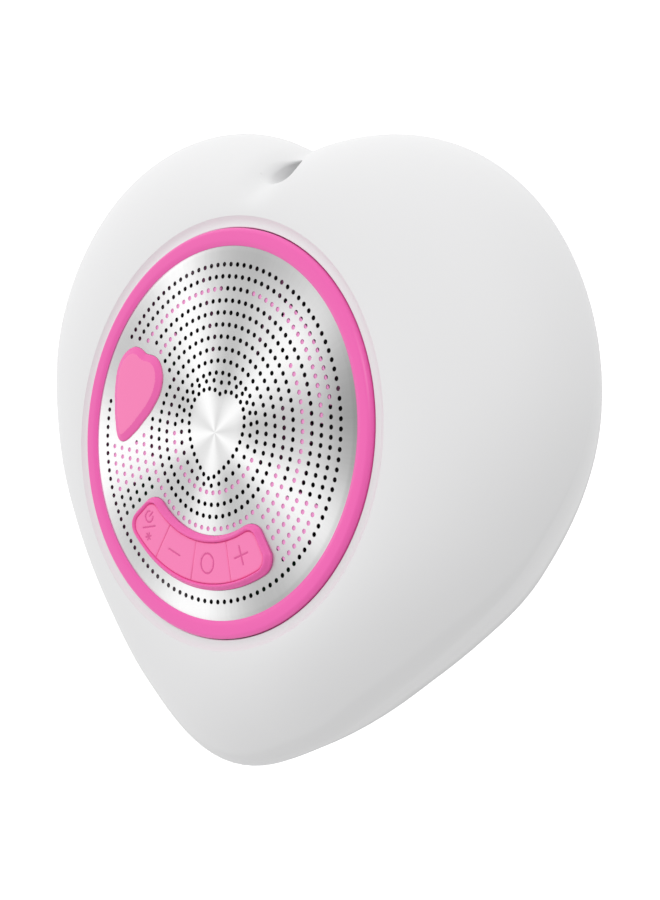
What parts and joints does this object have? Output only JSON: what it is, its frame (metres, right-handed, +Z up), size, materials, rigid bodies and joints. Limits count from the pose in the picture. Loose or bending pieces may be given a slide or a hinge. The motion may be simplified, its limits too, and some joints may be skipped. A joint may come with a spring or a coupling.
{
  "type": "shower speaker",
  "caption": "Heart-shaped splash-proof wireless shower speaker with a round perforated metal grille, arc keypad, heart key, hanging eye and rear suction cup.",
  "frame": {"origin": "centre of the suction cup's lip, on the wall, on the axis of the driver and grille", "axes": "+Z up the wall towards the heart's cleft, +Y into the wall, so the grille looks along -Y, and +X to the right seen from the front"},
  "size_m": [0.1214, 0.0532, 0.1109],
  "materials": {
    "white_shell": "satin moulded ABS",
    "pink_plastic": "satin moulded ABS, magenta pink",
    "spun_aluminium": "spun with fine concentric turning marks, perforated",
    "pink_silicone": "matt silicone rubber with engraved symbols",
    "switch_metal": "plated sheet metal",
    "circuit_board": "green solder mask",
    "chip_black": "moulded package",
    "black_plastic": "moulded ABS",
    "membrane_cloth": "water-repellent acoustic cloth",
    "foam": "closed-cell foam",
    "pressed_steel": "zinc-plated pressed steel",
    "ferrite": "sintered ferrite",
    "cone_paper": "coated paper",
    "black_rubber": "butyl rubber roll",
    "spider_cloth": "resin-dipped corrugated cloth",
    "copper_wire": "enamelled copper winding",
    "battery_wrap": "heat-shrink film and tape",
    "grey_rubber": "moulded silicone rubber",
    "screw_steel": "zinc-plated self-tapping screw",
    "clear_vinyl": "glossy clear soft vinyl"
  },
  "bodies": {
    "housing": {"back_cover": "white_shell", "baffle_screw_1": "screw_steel", "baffle_screw_2": "screw_steel", "baffle_screw_3": "screw_steel", "baffle_screw_4": "screw_steel", "battery": "battery_wrap", "battery_pad": "foam", "bezel_ring": "pink_plastic", "charging_socket": "switch_metal", "cone_surround": "black_rubber", "cover_gasket": "grey_rubber", "cover_screw_1": "screw_steel", "cover_screw_2": "screw_steel", "cover_screw_3": "screw_steel", "cover_screw_4": "screw_steel", "cover_screw_5": "screw_steel", "cup_stud": "white_shell", "driver_basket": "pressed_steel", "driver_gasket": "foam", "grille": "spun_aluminium", "grille_carrier": "pink_plastic", "heart_key_switch": "switch_metal", "heart_shell": "white_shell", "key_board": "circuit_board", "keypad_frame": "pink_silicone", "magnet": "ferrite", "main_board": "circuit_board", "microphone": "switch_metal", "minus_key_switch": "switch_metal", "play_key_switch": "switch_metal", "plus_key_switch": "switch_metal", "power_key_switch": "switch_metal", "radio_chip": "chip_black", "speaker_baffle": "black_plastic", "spider": "spider_cloth", "splash_membrane": "membrane_cloth", "suction_cup": "clear_vinyl", "top_plate": "pressed_steel", "yoke": "pressed_steel"},
    "power_key": {"power_key": "pink_silicone"},
    "minus_key": {"minus_key": "pink_silicone"},
    "play_key": {"play_key": "pink_silicone"},
    "plus_key": {"plus_key": "pink_silicone"},
    "heart_key": {"heart_key": "pink_silicone"},
    "port_plug": {"port_plug": "grey_rubber"},
    "cone_assembly": {"driver_cone": "cone_paper", "dust_cap": "cone_paper", "voice_coil": "copper_wire"}
  },
  "joints": [
    {"name": "power_key_press", "type": "slide", "parent": "housing", "child": "power_key", "axis": [0, 1, 0], "range_m": [0, 0.0005], "stiffness_N_per_m": 900},
    {"name": "minus_key_press", "type": "slide", "parent": "housing", "child": "minus_key", "axis": [0, 1, 0], "range_m": [0, 0.0005], "stiffness_N_per_m": 900},
    {"name": "play_key_press", "type": "slide", "parent": "housing", "child": "play_key", "axis": [0, 1, 0], "range_m": [0, 0.0005], "stiffness_N_per_m": 900},
    {"name": "plus_key_press", "type": "slide", "parent": "housing", "child": "plus_key", "axis": [0, 1, 0], "range_m": [0, 0.0005], "stiffness_N_per_m": 900},
    {"name": "heart_key_press", "type": "slide", "parent": "housing", "child": "heart_key", "axis": [0, 1, 0], "range_m": [0, 0.0005], "stiffness_N_per_m": 900},
    {"name": "cone_travel", "type": "slide", "parent": "housing", "child": "cone_assembly", "axis": [0, -1, 0], "range_m": [-0.0008, 0.0008], "stiffness_N_per_m": 1200},
    {"name": "port_plug_hinge", "type": "hinge", "parent": "housing", "child": "port_plug", "pos_m": [0, -0.0098, -0.0263], "axis": [1, 0, 0], "range_deg": [0, 115]}
  ]
}
